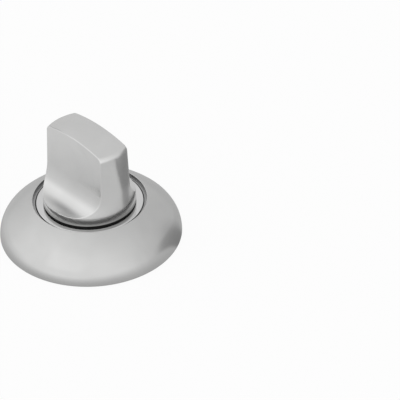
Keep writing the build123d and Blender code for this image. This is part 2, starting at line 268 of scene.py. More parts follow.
def floor_material():
    """Matt paper that the camera sees as white, and that glows for metal with painted levels by
    place.
    """
    material, tree, shader = new_material("studio_floor", Roughness=0.9, Specular_IOR_Level=0.0)
    grain = add(tree, "ShaderNodeTexNoise", {"Scale": PAPER_SCALE, "Detail": 2.0})
    paper = spread(tree, grain.outputs["Fac"], *NOISE_RANGE, *PAPER_TONES)
    tree.links.new(paper, shader.inputs["Base Color"])
    path = add(tree, "ShaderNodeLightPath").outputs
    white = add(tree, "ShaderNodeEmission", {"Color": (1, 1, 1, 1), "Strength": 1.0})
    place = add(tree, "ShaderNodeTexCoord").outputs["Object"]
    distance = add(tree, "ShaderNodeVectorMath", {0: place}, operation="LENGTH").outputs["Value"]
    uncovered = calculate(tree, "GREATER_THAN", distance, UNDER_ROSE)
    white_share = calculate(tree, "MULTIPLY", uncovered, WHITE_FOR_CAMERA)
    share = calculate(tree, "MULTIPLY", path["Is Camera Ray"], white_share)
    seen = add(tree, "ShaderNodeMixShader", {0: share, 1: shader.outputs[0], 2: white.outputs[0]})

    # Glossy and transmission rays see a glowing level instead of the lit paper: painted shade near
    # the rose, painted darkening towards the doorway.
    outward = add(tree, "ShaderNodeVectorMath", {0: place}, operation="NORMALIZE").outputs[0]
    full = level_ramp(tree, toward(tree, outward, DIM_SIDE), FLOOR_LEVELS)
    painted_shade = (SHADED_LEVEL, SHADED_LEVEL, SHADED_LEVEL, 1)
    level = blend(tree, level_ramp(tree, distance, OUT_OF_SHADE), painted_shade, full)
    from_rim = add(tree, "ShaderNodeVectorMath", {0: place, 1: RIM_POINT}, operation="SUBTRACT")
    sight = add(tree, "ShaderNodeVectorMath", {0: from_rim.outputs[0]}, operation="NORMALIZE")
    level = past_doorway(tree, level, sight.outputs[0])
    painted_floor_glow = add(tree, "ShaderNodeEmission", {"Color": level, "Strength": 1.0})
    shiny = calculate(tree, "MAXIMUM", path["Is Glossy Ray"], path["Is Transmission Ray"])
    lit = add(tree, "ShaderNodeMixShader", {0: shiny, 1: seen.outputs[0], 2: painted_floor_glow.outputs[0]})
    show_one_side(tree, lit.outputs[0])
    return material


def flat_sheet(name, corners, material):
    """A flat sheet that belongs to the studio, not to the object. Its front is counter-clockwise."""
    mesh = bpy.data.meshes.new(name)
    mesh.from_pydata(corners, [], [tuple(range(len(corners)))])
    mesh.materials.append(material)
    sheet = bpy.data.objects.new(name, mesh)
    scene.collection.objects.link(sheet)
    return sheet


half = FLOOR_SIZE / 2
floor = flat_sheet(
    "floor", [(-half, -half, 0), (half, -half, 0), (half, half, 0), (-half, half, 0)],
    floor_material(),
)
print(floor.name, FLOOR_SIZE, "metres square")

# %% [markdown]
# Light
#
# The studio is a softly lit room with one large lamp high on the left. The room is the world: its
# brightness changes slowly with height and from side to side, which models the domed cover. A
# flat white room would make the metal look like paper. The camera itself sees pure white.

# %% Light the studio
ROOM_LEVELS = ((-1.0, 0.94), (-0.61, 0.94), (-0.48, 0.93), (-0.35, 0.92), (-0.226, 0.87),
               (0.0, 0.80), (0.226, 0.735), (0.35, 0.70), (0.61, 0.65), (0.84, 0.63), (1.0, 0.62))
HEIGHT_LEVELS = ((0.0, 1.0), (0.77, 1.0), (0.866, 0.975), (0.94, 0.95), (1.0, 0.94))


def light_room():
    """The room as a world: levels by height, side and doorway, and white for the camera."""
    world = bpy.data.worlds.new("studio")
    scene.world = world
    world.use_nodes = True
    tree = world.node_tree
    tree.nodes.clear()
    direction = add(tree, "ShaderNodeTexCoord").outputs["Generated"]
    height = add(tree, "ShaderNodeSeparateXYZ", {0: direction}).outputs["Z"]
    level = calculate(
        tree, "MULTIPLY",
        level_ramp(tree, height, HEIGHT_LEVELS),
        level_ramp(tree, toward(tree, direction, DIM_SIDE), ROOM_LEVELS),
    )
    level = past_doorway(tree, level, direction)
    room = add(tree, "ShaderNodeBackground", {"Color": (1, 1, 1, 1), "Strength": level})
    white = add(tree, "ShaderNodeBackground", {"Color": (1, 1, 1, 1), "Strength": 1.0})
    seen = add(tree, "ShaderNodeLightPath").outputs["Is Camera Ray"]
    mixed = add(tree, "ShaderNodeMixShader", {0: seen, 1: room.outputs[0], 2: white.outputs[0]})
    output = add(tree, "ShaderNodeOutputWorld")
    tree.links.new(mixed.outputs[0], output.inputs["Surface"])


def soft_lamp(name, azimuth, elevation, distance, size, watts):
    """A square area lamp that faces the origin from a direction."""
    lamp = bpy.data.lights.new(name, "AREA")
    lamp.size = size
    lamp.energy = watts
    lamp_object = bpy.data.objects.new(name, lamp)
    across = cos(radians(elevation))
    place = Vector((across * cos(radians(azimuth)), across * sin(radians(azimuth)),
                    sin(radians(elevation))))
    lamp_object.location = place * distance
    lamp_object.rotation_euler = place.to_track_quat("Z", "Y").to_euler()
    scene.collection.objects.link(lamp_object)


light_room()
soft_lamp("lamp_left", azimuth=-165, elevation=38, distance=1.2, size=0.9, watts=0.2)
print("world", scene.world.name, "lamps", len(bpy.data.lights))

# %% [markdown]
# Shade cards
#
# Sheets just outside the picture paint darker shapes on the shiny metal: painted reflections that
# stand for shade round the object. A card shows only in reflections and from one side. The plain
# kind is matt and lit by the room. The other kind glows with set levels of painted shade, which stay
# the same wherever the lamp is, and may be an oval that fades out to its edge.

# %% Make the card helpers
WEAVE_SCALE, WEAVE_TONES = 700.0, (0.96, 1.04)
OVAL_POINTS = 32


def hide_from_view(card):
    """Leave a card to be seen in reflections only."""
    card.visible_camera = False
    card.visible_diffuse = False
    card.visible_shadow = False


def shade_card(name, corners, shade):
    """A grey card of painted shade that shows only in reflections of its front."""
    material, tree, shader = new_material(name, Roughness=0.9, Specular_IOR_Level=0.0)
    weave = add(tree, "ShaderNodeTexNoise", {"Scale": WEAVE_SCALE, "Detail": 2.0})
    darkest, lightest = (part * shade for part in WEAVE_TONES)
    tone = spread(tree, weave.outputs["Fac"], *NOISE_RANGE, darkest, lightest)
    tree.links.new(tone, shader.inputs["Base Color"])
    show_one_side(tree, shader.outputs[0])
    hide_from_view(flat_sheet(name, corners, material))


def glowing_shade_card(name, corners, levels, solid=None):
    """A glowing card of painted shade, with set levels by distance from its origin, which may fade
    out from solid to 1.
    """
    material, tree, shader = new_material(name)
    tree.nodes.remove(shader)
    place = add(tree, "ShaderNodeTexCoord").outputs["Object"]
    outward = add(tree, "ShaderNodeVectorMath", {0: place}, operation="LENGTH").outputs["Value"]
    level = level_ramp(tree, outward, levels)
    # The card glows with its set levels: painted shade, seen only in reflections.
    seen = add(tree, "ShaderNodeEmission", {"Color": level, "Strength": 1.0})
    if solid is not None:
        clear = add(tree, "ShaderNodeBsdfTransparent")
        share = spread(tree, outward, solid, 1.0, 0.0, 1.0)
        seen = add(tree, "ShaderNodeMixShader",
                   {0: share, 1: seen.outputs[0], 2: clear.outputs[0]})
    show_one_side(tree, seen.outputs[0])
    card = flat_sheet(name, corners, material)
    hide_from_view(card)
    return card


def glowing_shade_oval(name, centre, wide, long, levels, solid):
    """A glowing shade card that is an oval round a centre, with two half axes and a soft edge."""
    turns = [2 * pi * index / OVAL_POINTS for index in range(OVAL_POINTS)]
    card = glowing_shade_card(name, [(cos(turn), sin(turn), 0) for turn in turns], levels, solid)
    wide, long = Vector(wide), Vector(long)
    axes = Matrix((wide, long, wide.cross(long).normalized())).transposed().to_4x4()
    card.matrix_world = Matrix.Translation(centre) @ axes


print("card helpers", [helper.__name__ for helper in (shade_card, glowing_shade_card, glowing_shade_oval)])

# %% [markdown]
# Where the cards hang
#
# Two cards hang level beside the rose, and the end and the foot of the knob mirror them as painted
# shade. One begins over the dome on the left and rises outwards, and paints reflected levels of
# shade on the flat and the scoop. The small oval one hangs above the knob and paints the dark spot
# in the scoop, a painted reflection. They belong to the studio and touch nothing. Places are in
# metres, as corners in order.

# %% Hang the shade cards
END_CARD = ((0.0160, -0.0247, 0.009), (0.0203, -0.0479, 0.009), (0.0447, -0.0155, 0.009),
            (0.0223, -0.0135, 0.009))
END_CARD_SHADE = 0.32
SIDE_CARD = ((-0.0131, -0.0247, 0.0088), (-0.0310, -0.0583, 0.0088), (0.0330, -0.0572, 0.0088),
             (0.0140, -0.0243, 0.0088))
SIDE_CARD_LEVELS = ((0.028, 0.62), (0.060, 0.53))         # by metres from the origin
BACK_CARD = ((-0.0195, -0.0050, 0.0123), (-0.0100, 0.0173, 0.0123), (-0.1200, 0.2078, 0.1300),
             (-0.2400, 0.0000, 0.1300))
BACK_CARD_LEVELS = ((0.023, 0.58), (0.031, 0.64), (0.042, 0.69), (0.058, 0.78), (0.085, 0.85),
                    (0.270, 0.88))
OVAL_LEVELS, OVAL_SOLID = ((0.0, 0.26), (1.0, 0.40)), 0.2     # by share of the way to the edge

shade_card("end_shade_card", END_CARD, END_CARD_SHADE)
glowing_shade_card("side_shade_card", SIDE_CARD, SIDE_CARD_LEVELS)
glowing_shade_card("back_shade_card", BACK_CARD, BACK_CARD_LEVELS)
glowing_shade_oval("scoop_shade_oval", centre=(-0.0082, 0.0203, 0.042), wide=(0.011, 0, 0),
          long=(0, -0.0071, 0.0055), levels=OVAL_LEVELS, solid=OVAL_SOLID)

# %% [markdown]
# Brushed grain
#
# Satin means that the metal was brushed before it was plated, so tiny scratches spread each
# reflection. On the cover the scratches run round the axis, because it was spun against the
# brush. On the knob they run down the blade. A noise that is stretched along one direction makes
# such scratches. It is one node group with a switch between straight and turned grain, because
# several metals use it. It gives a height for the bump and a mask for the roughness.

# %% Make the brushed grain group
ROUND_SCALE = 1.6                 # noise cells to a radian round the axis


def make_brushed_grain():
    """Height and mask of scratches that run along Z, or round it where Turned is 1."""
    inputs = {"Along": 60.0, "Across": 5000.0, "Turned": 0.0}
    outputs = {"Height": "NodeSocketFloat", "Mask": "NodeSocketFloat"}
    group, given, result = new_group("brushed_grain", inputs, outputs)
    place = add(group, "ShaderNodeTexCoord").outputs["Object"]
    x, y, z = add(group, "ShaderNodeSeparateXYZ", {0: place}).outputs
    squares = calculate(group, "MULTIPLY", x, x), calculate(group, "MULTIPLY", y, y)
    radius = calculate(group, "SQRT", calculate(group, "ADD", *squares))
    angle = calculate(group, "ARCTAN2", y, x)
    across, along = given["Across"], given["Along"]
    straight = add(group, "ShaderNodeCombineXYZ", {
        0: calculate(group, "MULTIPLY", x, across),
        1: calculate(group, "MULTIPLY", y, across),
        2: calculate(group, "MULTIPLY", z, along),
    })
    turned = add(group, "ShaderNodeCombineXYZ", {
        0: calculate(group, "MULTIPLY", radius, across),
        1: calculate(group, "MULTIPLY", angle, ROUND_SCALE),
        2: calculate(group, "MULTIPLY", z, across),
    })
    chosen = add(group, "ShaderNodeMix", data_type="VECTOR")
    group.links.new(given["Turned"], chosen.inputs[0])
    group.links.new(straight.outputs[0], chosen.inputs[4])
    group.links.new(turned.outputs[0], chosen.inputs[5])
    stretched = {"Vector": chosen.outputs[1], "Scale": 1.0, "Detail": 4.0, "Roughness": 0.6}
    noise = add(group, "ShaderNodeTexNoise", stretched)
    group.links.new(noise.outputs["Fac"], result.inputs["Height"])
    mask = spread(group, noise.outputs["Fac"], *NOISE_RANGE, 0.0, 1.0)
    group.links.new(mask, result.inputs["Mask"])
    return group


brushed_grain = make_brushed_grain()
print("group", brushed_grain.name, [item.name for item in brushed_grain.interface.items_tree])

# %% [markdown]
# Handling and edge wear
#
# A thumb turn is touched every day. Fingers leave soft cloudy marks that dull the shine a little,
# and edges are polished brighter by them. The cloud is a large smooth noise. The edge comes from
# the Bevel node: it gives a normal that is rounded near edges, and where that differs from the
# true normal there is an edge. Both are one group, and each material decides what they do to its
# colour and its shine.

# %% Make the wear group
CLOUD_RANGE = (0.35, 0.65)        # of the noise, from clean to dull
EDGE_RANGE = (0.99, 0.86)         # cosine between the two normals, from no edge to a full one


def make_wear():
    """A mask of finger marks and a mask of worn edges."""
    inputs = {"Cloud Scale": 90.0, "Edge Width": 0.0004}
    outputs = {"Cloud": "NodeSocketFloat", "Edge": "NodeSocketFloat"}
    group, given, result = new_group("wear", inputs, outputs)
    place = add(group, "ShaderNodeTexCoord").outputs["Object"]
    cloud = add(group, "ShaderNodeTexNoise", {"Vector": place, "Detail": 3.0, "Distortion": 0.4})
    group.links.new(given["Cloud Scale"], cloud.inputs["Scale"])
    marks = spread(group, cloud.outputs["Fac"], *CLOUD_RANGE, 0.0, 1.0)
    group.links.new(marks, result.inputs["Cloud"])
    soft = add(group, "ShaderNodeBevel", samples=4)
    group.links.new(given["Edge Width"], soft.inputs["Radius"])
    true_normal = add(group, "ShaderNodeNewGeometry").outputs["Normal"]
    same = add(group, "ShaderNodeVectorMath", {0: soft.outputs[0], 1: true_normal},
               operation="DOT_PRODUCT")
    edge = spread(group, same.outputs["Value"], *EDGE_RANGE, 0.0, 1.0)
    group.links.new(edge, result.inputs["Edge"])
    return group


wear = make_wear()
print("group", wear.name, [item.name for item in wear.interface.items_tree])

# %% [markdown]
# Metals
#
# All the metals are one recipe with different numbers: a base colour, a brighter colour on worn
# edges, a roughness that varies with the grain and the finger marks, and the grain as a fine bump.
# Nickel plate is a light grey that is hardly warm. It is brighter on the cast knob, which is
# polished before it is brushed, than on the pressed cover. Chrome is brighter and almost a
# mirror. The groove inside the cover's hole gets darker nickel, as painted shade in the recess.
# The last millimetre of the knob's foot is painted darker too, as painted shade next to the ring.
# Cast zinc is duller, and its skin is sandy, so its grain is as fine across as it is along.

# %% Make the metal recipe
MARKED = 0.95                          # share of its colour that metal keeps under finger marks
MARKED_ROUGHNESS = 0.25                # share of the roughness's spread that finger marks add
RELIEF_DEPTH = 0.00002                 # metres
# Painted shade: the dark nickel that the knob's foot turns to next to the ring.
FOOT_SHADE_NICKEL = (0.34, 0.34, 0.335)


def metal(name, colour, bright, roughness, spread_of, grain, bump, foot_shade=None):
    """A plated or bare metal. grain holds Along, Across and Turned of the brushed grain."""
    material, tree, shader = new_material(name, Metallic=1.0)
    lines = use_group(tree, brushed_grain, **grain)
    worn = use_group(tree, wear)
    darker = tuple(MARKED * level for level in colour) + (1,)
    clouded = blend(tree, worn["Cloud"], tuple(colour) + (1,), darker)
    coloured = blend(tree, worn["Edge"], clouded, tuple(bright) + (1,))
    # Painted shade on the foot: below the given heights the colour turns to the dark nickel.
    if foot_shade:
        place = add(tree, "ShaderNodeTexCoord").outputs["Object"]
        height = add(tree, "ShaderNodeSeparateXYZ", {0: place}).outputs["Z"]
        foot_shade_share = spread(tree, height, *foot_shade, 1.0, 0.0)
        coloured = blend(tree, foot_shade_share, coloured, FOOT_SHADE_NICKEL + (1,))
    tree.links.new(coloured, shader.inputs["Base Color"])
    by_grain = spread(tree, lines["Mask"], 0.0, 1.0, roughness - spread_of, roughness + spread_of)
    by_hand = calculate(tree, "MULTIPLY", worn["Cloud"], MARKED_ROUGHNESS * spread_of)
    tree.links.new(calculate(tree, "ADD", by_grain, by_hand), shader.inputs["Roughness"])
    relief = add(tree, "ShaderNodeBump", {"Height": lines["Height"], "Strength": bump,
                                          "Distance": RELIEF_DEPTH})
    tree.links.new(relief.outputs[0], shader.inputs["Normal"])
    return material


print("relief", RELIEF_DEPTH, "metres deep")

# %% [markdown]
# The metals of this turn
#
# Each metal gets its colour, the colour of its worn edges, its roughness and how much that
# varies, its grain and the strength of its bump. The grain is straight, turned round the axis, or
# sandy.

# %% Make the metals
NICKEL, NICKEL_EDGE = (0.70, 0.70, 0.695), (0.80, 0.80, 0.795)
KNOB_NICKEL, KNOB_EDGE = (0.84, 0.84, 0.835), (0.86, 0.86, 0.855)
CHROME, CHROME_EDGE = (0.89, 0.89, 0.89), (0.92, 0.92, 0.92)
# Painted shade: darker nickel for the wall and the step of the groove inside the hole.
WALL_SHADE, WALL_SHADE_EDGE = (0.32, 0.32, 0.32), (0.36, 0.36, 0.36)
LEDGE_SHADE, LEDGE_SHADE_EDGE = (0.46, 0.46, 0.46), (0.50, 0.50, 0.50)
ZINC, ZINC_EDGE = (0.42, 0.42, 0.43), (0.55, 0.55, 0.56)
PLATED, PLATED_EDGE = (0.58, 0.59, 0.60), (0.70, 0.71, 0.72)
SPRING, SPRING_EDGE = (0.16, 0.15, 0.15), (0.35, 0.34, 0.33)
# Painted shade on the knob's foot, by metres of height, from full shade to none.
FOOT_SHADE_HEIGHTS = (0.0124, 0.0132)           # metres of height, from dull to full shine
straight_grain = {"Along": 60.0, "Across": 5000.0, "Turned": 0.0}
turned_grain = {"Along": 60.0, "Across": 5000.0, "Turned": 1.0}
sand_grain = {"Along": 3500.0, "Across": 3500.0, "Turned": 0.0}

knob_nickel = metal("satin_nickel_knob", KNOB_NICKEL, KNOB_EDGE, 0.20, 0.03, straight_grain, 0.10,
                    FOOT_SHADE_HEIGHTS)
cover_nickel = metal("satin_nickel_cover", NICKEL, NICKEL_EDGE, 0.22, 0.03, turned_grain, 0.10)
chrome = metal("polished_chrome", CHROME, CHROME_EDGE, 0.06, 0.01, turned_grain, 0.03)
shaded_groove_wall = metal("shaded_groove_wall", WALL_SHADE, WALL_SHADE_EDGE, 0.30, 0.05, turned_grain, 0.10)
shaded_groove_ledge = metal("shaded_groove_ledge", LEDGE_SHADE, LEDGE_SHADE_EDGE, 0.36, 0.05, turned_grain,
                     0.10)
zinc = metal("cast_zinc", ZINC, ZINC_EDGE, 0.48, 0.08, sand_grain, 0.5)
plated_steel = metal("zinc_plated_steel", PLATED, PLATED_EDGE, 0.32, 0.06, straight_grain, 0.15)
spring_steel = metal("spring_steel", SPRING, SPRING_EDGE, 0.36, 0.06, turned_grain, 0.15)
metals = (knob_nickel, cover_nickel, chrome, shaded_groove_wall, shaded_groove_ledge, zinc, plated_steel,
          spring_steel)
print("metals", [finish.name for finish in metals])

# %% [markdown]
# Nylon
#
# The bush and the thrust washer are moulded nylon, black and natural white. Moulded nylon has a
# fine sparkle-free grain and a soft shine. It is no metal, so its shine is the small plain one of
# a plastic, and its edges don't brighten. A fine noise gives the moulded skin.

# %% Make the nylons
SKIN_SCALE, SKIN_BUMP = 6000.0, 0.2
SKIN_ROUGHNESS = 0.05                  # up and down from the nylon's own roughness
MARKED_TIMES, MARKED_PLUS = 1.15, 0.004     # finger marks make the nylon paler by these


def nylon(name, colour, roughness):
    """Moulded nylon, with pale finger marks and a fine skin."""
    material, tree, shader = new_material(name, Specular_IOR_Level=0.2)
    worn = use_group(tree, wear, Cloud_Scale=250.0)
    paler = tuple(min(1.0, MARKED_TIMES * level + MARKED_PLUS) for level in colour) + (1,)
    tree.links.new(blend(tree, worn["Cloud"], tuple(colour) + (1,), paler),
                   shader.inputs["Base Color"])
    skin = add(tree, "ShaderNodeTexNoise", {"Scale": SKIN_SCALE, "Detail": 2.0})
    varied = spread(tree, skin.outputs["Fac"], *NOISE_RANGE, roughness - SKIN_ROUGHNESS,
                    roughness + SKIN_ROUGHNESS)
    tree.links.new(varied, shader.inputs["Roughness"])
    relief = add(tree, "ShaderNodeBump", {"Height": skin.outputs["Fac"], "Strength": SKIN_BUMP,
                                          "Distance": RELIEF_DEPTH})
    tree.links.new(relief.outputs[0], shader.inputs["Normal"])
    return material


black_nylon = nylon("black_nylon", (0.004, 0.004, 0.004), 0.65)
white_nylon = nylon("white_nylon", (0.78, 0.77, 0.73), 0.40)
print("nylons", black_nylon.name, white_nylon.name)

# %% [markdown]
# Finish the solids
#
# A solid whose shape is right stays as it is and only gets its finish, in its material slots.

# %% Give the solids their finish
FINISHES = {
    "rose_cover": cover_nickel,
    "insert_ring": chrome,
    "front_bush": black_nylon,
    "sub_rose": zinc,
    "thrust_washer": white_nylon,
    "back_plate": plated_steel,
    "plate_screw_1": plated_steel,
    "plate_screw_2": plated_steel,
    "plate_screw_3": plated_steel,
    "knob": knob_nickel,
    "spindle": plated_steel,
    "spindle_pin": spring_steel,
    "spring_washer": spring_steel,
    "stop_washer": plated_steel,
    "retaining_ring": spring_steel,
}
for name, finish in FINISHES.items():
    mesh = nodes[name].data
    mesh.materials.clear()
    mesh.materials.append(finish)
print("finished", len(FINISHES), "solids")

# %% [markdown]
# Turned pieces
#
# The cover and the ring are turned on a lathe, so each is one outline that is spun round the
# axis. The outline is written in millimetres as points of radius and height, with small arcs at
# its corners. Flat faces next to small arcs shade wrongly if every point counts the same, so the
# Weighted Normal modifier lets the large faces set the normals.

# %% Spin outlines
MM = 0.001
SPIN_STEPS = 256


def arc(centre, radius, start, end, steps):
    """Points of an arc, from one angle to another in degrees, ends included."""
    angles = [radians(start + (end - start) * index / steps) for index in range(steps + 1)]
    return [(centre[0] + radius * cos(a), centre[1] + radius * sin(a)) for a in angles]


def finish_piece(name, mesh, material, body, node):
    """Put a mesh in the scene as a piece that stands for a solid and moves with its body."""
    mesh.materials.append(material)
    for face in mesh.polygons:
        face.use_smooth = True
    piece = bpy.data.objects.new(name, mesh)
    scene.collection.objects.link(piece)
    weighted = piece.modifiers.new("weighted", "WEIGHTED_NORMAL")
    weighted.keep_sharp = True
    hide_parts(node)
    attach(piece, body)
    print(name, len(mesh.polygons), "faces")
    return piece


def mark_sharp(mesh, angle=35.0):
    """Edges that turn by more than an angle stay crisp."""
    shape = bmesh.new()
    shape.from_mesh(mesh)
    for edge in shape.edges:
        edge.smooth = len(edge.link_faces) == 2 and edge.calc_face_angle() < radians(angle)
    shape.to_mesh(mesh)
    shape.free()


def lathe(name, outline):
    """A mesh spun from a closed outline of (radius, height) in millimetres."""
    count = len(outline)
    points = []
    for step in range(SPIN_STEPS):
        turn = 2 * pi * step / SPIN_STEPS
        points += [(r * MM * cos(turn), r * MM * sin(turn), z * MM) for r, z in outline]
    faces = []
    for step in range(SPIN_STEPS):
        here, there = step * count, (step + 1) % SPIN_STEPS * count
        for index in range(count):
            after = (index + 1) % count
            faces.append((here + index, there + index, there + after, here + after))
    mesh = bpy.data.meshes.new(name)
    mesh.from_pydata(points, [], faces)
    mark_sharp(mesh)
    return mesh


print("a full turn takes", SPIN_STEPS, "steps")

# %% [markdown]
# Rose cover
#
# Two arcs make the dome: a steep one that stands upright at the rim, and a flatter one that is
# part of a ball round the axis. They run into each other without a corner. Inside the hole there
# is a step, which with the painted shade of the groove makes the dark line seen round the ring.

# %% Make the rose cover
ROSE_RADIUS, RIM_HEIGHT, SHOULDER_RADIUS = 26.0, 0.5, 8.6
SHOULDER_TILT = radians(45.3)
COVER_WALL, EDGE = 1.6, 0.2
KNOB_RADIUS = 13.25
RING_RADIUS = KNOB_RADIUS + 2.08
LEDGE_RADIUS = KNOB_RADIUS + 2.25
HOLE_RADIUS = LEDGE_RADIUS + 0.7
LIP_DEPTH, LEDGE_DEPTH = 2.4, 1.05     # below the top, of the hole's lower edge and of its step
LEDGE_CORNER, LEDGE_EDGE = 0.05, 0.08
SEAT_RADIUS, SEAT_TOP = 23.95, 3.4     # where the cover sits on its base
INNER_START, INNER_END = 3, 23         # degrees by which the wall's inner arcs are shorter
SLACK = 0.01

shoulder_centre = ROSE_RADIUS - SHOULDER_RADIUS
crown_radius = shoulder_centre / sin(SHOULDER_TILT) + SHOULDER_RADIUS
crown_centre = RIM_HEIGHT - shoulder_centre / tan(SHOULDER_TILT)
crown_slope = asin((HOLE_RADIUS + EDGE) / crown_radius)
rose_height = crown_centre + crown_radius * cos(crown_slope)


def cover_outline():
    """The cover's outline, from its foot over the dome, down the hole and back inside."""
    meet = 90 - degrees(SHOULDER_TILT)
    lip, ledge = rose_height - LIP_DEPTH, rose_height - LEDGE_DEPTH
    shoulder = (shoulder_centre, RIM_HEIGHT)
    top_angle = 90 - degrees(crown_slope)
    outline = arc((ROSE_RADIUS - RIM_HEIGHT, RIM_HEIGHT), RIM_HEIGHT, -90, 0, 8)
    outline += arc(shoulder, SHOULDER_RADIUS, 0, meet, 40)[1:]
    outline += arc((0, crown_centre), crown_radius, meet, top_angle, 24)[1:]
    outline += arc((HOLE_RADIUS + EDGE, rose_height - EDGE), EDGE, top_angle, 180, 8)[1:]
    outline += arc((HOLE_RADIUS, ledge), LEDGE_CORNER, 90, 180, 2)
    outline += arc((LEDGE_RADIUS + LEDGE_EDGE, ledge - LEDGE_EDGE), LEDGE_EDGE, 90, 180, 3)
    outline += [(LEDGE_RADIUS, lip)]
    inner = crown_radius - COVER_WALL
    outline += arc((0, crown_centre), inner, top_angle - INNER_START, meet, 10)[1:]
    outline += arc(shoulder, SHOULDER_RADIUS - COVER_WALL, meet, INNER_END, 10)[1:]
    outline += [(SEAT_RADIUS, SEAT_TOP), (SEAT_RADIUS, 0.0)]
    return outline


cover = finish_piece("cover_dome", lathe("cover_dome", cover_outline()), cover_nickel, "rose",
                     "rose_cover")
print("cover height", round(rose_height, 3), "mm")

# %% [markdown]
# The groove's painted shade
#
# The groove gets darker nickel as painted shade, so its faces get other material slots than the
# dome. They are found by where they lie: near the hole's wall, or on the step inside it.

# %% Paint shade into the groove


def shade_groove(mesh):
    """The faces of the step inside the hole take the groove's painted shade."""
    mesh.materials.append(shaded_groove_wall)
    mesh.materials.append(shaded_groove_ledge)
    for face in mesh.polygons:
        height = face.center.z / MM
        radius = hypot(face.center.x, face.center.y) / MM
        if radius < HOLE_RADIUS + SLACK and height > rose_height - LIP_DEPTH - 10 * SLACK:
            face.material_index = 1 if radius > HOLE_RADIUS - 2 * SLACK else 2
    return sum(face.material_index > 0 for face in mesh.polygons)


print("groove faces", shade_groove(cover.data))

# %% [markdown]
# Insert ring
#
# The ring is a polished disc one step below the cover's edge. Its collar drops into the base and
# isn't seen, but it is there.

# %% Make the insert ring
RING_DEPTH, RING_THICKNESS, RING_EDGE = 0.85, 1.6, 0.3
RING_BORE, COLLAR_RADIUS, COLLAR_LENGTH = 7.25, 8.55, 1.2
RING_TOP = rose_height - RING_DEPTH


def ring_outline():
    """The ring's outline, from its collar outwards and over its rounded edge."""
    under = RING_TOP - RING_THICKNESS
    foot = under - COLLAR_LENGTH
    outline = [(RING_BORE, foot), (COLLAR_RADIUS, foot), (COLLAR_RADIUS, under)]
    outline += [(RING_RADIUS, under)]
    outline += arc((RING_RADIUS - RING_EDGE, RING_TOP - RING_EDGE), RING_EDGE, 0, 90, 8)
    return outline + [(RING_BORE, RING_TOP)]


finish_piece("insert_disc", lathe("insert_disc", ring_outline()), chrome, "rose",
             "insert_ring")

# %% [markdown]
# Knob
#
# The knob is a turned form with two scooped sides and a crowned top. Its edges are polished soft,
# and they meet in three-way corners, which a plain bevel makes badly. So the knob is treated as
# three rules that each say how far a point is outside: the turned wall, the blade with its
# scoops, and the crown. Where two rules meet, a rounded maximum joins them, which is an arc as a
# rolling ball would leave it. The mesh starts as rows of points on the sharp form and each point
# is then moved onto the rounded one.

# %% Say where the turned form and its crown are
FLANGE_GAP = 0.55                      # between ring and knob, where the bush's flange shows
KNOB_BOTTOM, KNOB_TOP = RING_TOP + FLANGE_GAP, 35.2
KNOB_TOP_RADIUS, END_HEIGHT, END_BALL = 12.65, 33.0, 19.3
BLADE_HALF, BLADE_DRAFT = 4.85, radians(1.8)
FOOT_HEIGHT, SCOOP_RADIUS = 2.15, 7.7
SCOOP_START = KNOB_BOTTOM + FOOT_HEIGHT + SCOOP_RADIUS
CROWN_LONG, CROWN_ACROSS = 48.0, 50.0
SOFT_TOP, SOFT_FOOT, SOFT_CREASE = 0.5, 0.1, 0.3
SOFT_BLADE_TOP, SOFT_BLADE_SIDE = 0.2, 0.06
CROWN_LEAN = 0.95                      # share of a height that is distance, as the crown slopes
LEAST_SLOPE = 0.2

scoop_x = BLADE_HALF + (KNOB_TOP - SCOOP_START) * tan(BLADE_DRAFT) + SCOOP_RADIUS * cos(BLADE_DRAFT)
scoop_z = SCOOP_START + SCOOP_RADIUS * sin(BLADE_DRAFT)


def rounded(first, second, radius):
    """The larger of two distances, with an arc where they are alike."""
    reach = hypot(max(first + radius, 0.0), max(second + radius, 0.0))
    return min(max(first, second), -radius) + reach


def wall_radius(z):
    """Radius of the turned wall, which tapers from foot to top."""
    share = (z - KNOB_BOTTOM) / (END_HEIGHT - KNOB_BOTTOM)
    return KNOB_RADIUS + (KNOB_TOP_RADIUS - KNOB_RADIUS) * share


def ball_height(x, y):
    """Height of the ball that rounds the top down to the ends."""
    centre = END_HEIGHT - sqrt(END_BALL**2 - KNOB_TOP_RADIUS**2)
    return centre + sqrt(END_BALL**2 - x * x - y * y)


def crown_height(x, y):
    """The top, which follows the crown and then the ball that rounds it down to the ends."""
    drop = CROWN_LONG - sqrt(CROWN_LONG**2 - y * y)
    reach = CROWN_ACROSS - drop
    crown = KNOB_TOP - CROWN_ACROSS + sqrt(reach**2 - x * x)
    return -rounded(-crown, -ball_height(x, y), SOFT_CREASE)


print("top at the middle", crown_height(0, 0), "and the end", crown_height(0, KNOB_TOP_RADIUS))

# %% [markdown]
# Blade, scoops and rounding
#
# The blade's flats lean in a little towards the top, and each runs out below into a scoop, which
# is an arc. A point finds its way onto the rounded surface in a few steps: the slope of the
# distance says which way is out, and the distance says how far to go.

# %% Say where the whole surface is


def outside_blade(x, z):
    """How far a point is outside the blade and its scoops."""
    aside, lift = abs(x) - scoop_x, z - scoop_z
    if aside >= 0:
        return lift + SCOOP_RADIUS
    if lift >= aside * tan(BLADE_DRAFT):
        width = BLADE_HALF + (KNOB_TOP - z) * tan(BLADE_DRAFT)
        return (abs(x) - width) * cos(BLADE_DRAFT)
    return SCOOP_RADIUS - hypot(aside, lift)


def outside_knob(x, y, z):
    """How far a point is outside the rounded knob. The blade's edge is softest near the top."""
    wall = hypot(x, y) - wall_radius(z)
    crown = (z - crown_height(x, y)) * CROWN_LEAN
    turned = rounded(rounded(wall, KNOB_BOTTOM - z, SOFT_FOOT), crown, SOFT_TOP)
    near_top = min(max(0.5 + (crown - wall), 0.0), 1.0)
    soft = SOFT_BLADE_SIDE + (SOFT_BLADE_TOP - SOFT_BLADE_SIDE) * near_top
    return rounded(turned, outside_blade(x, z), soft)


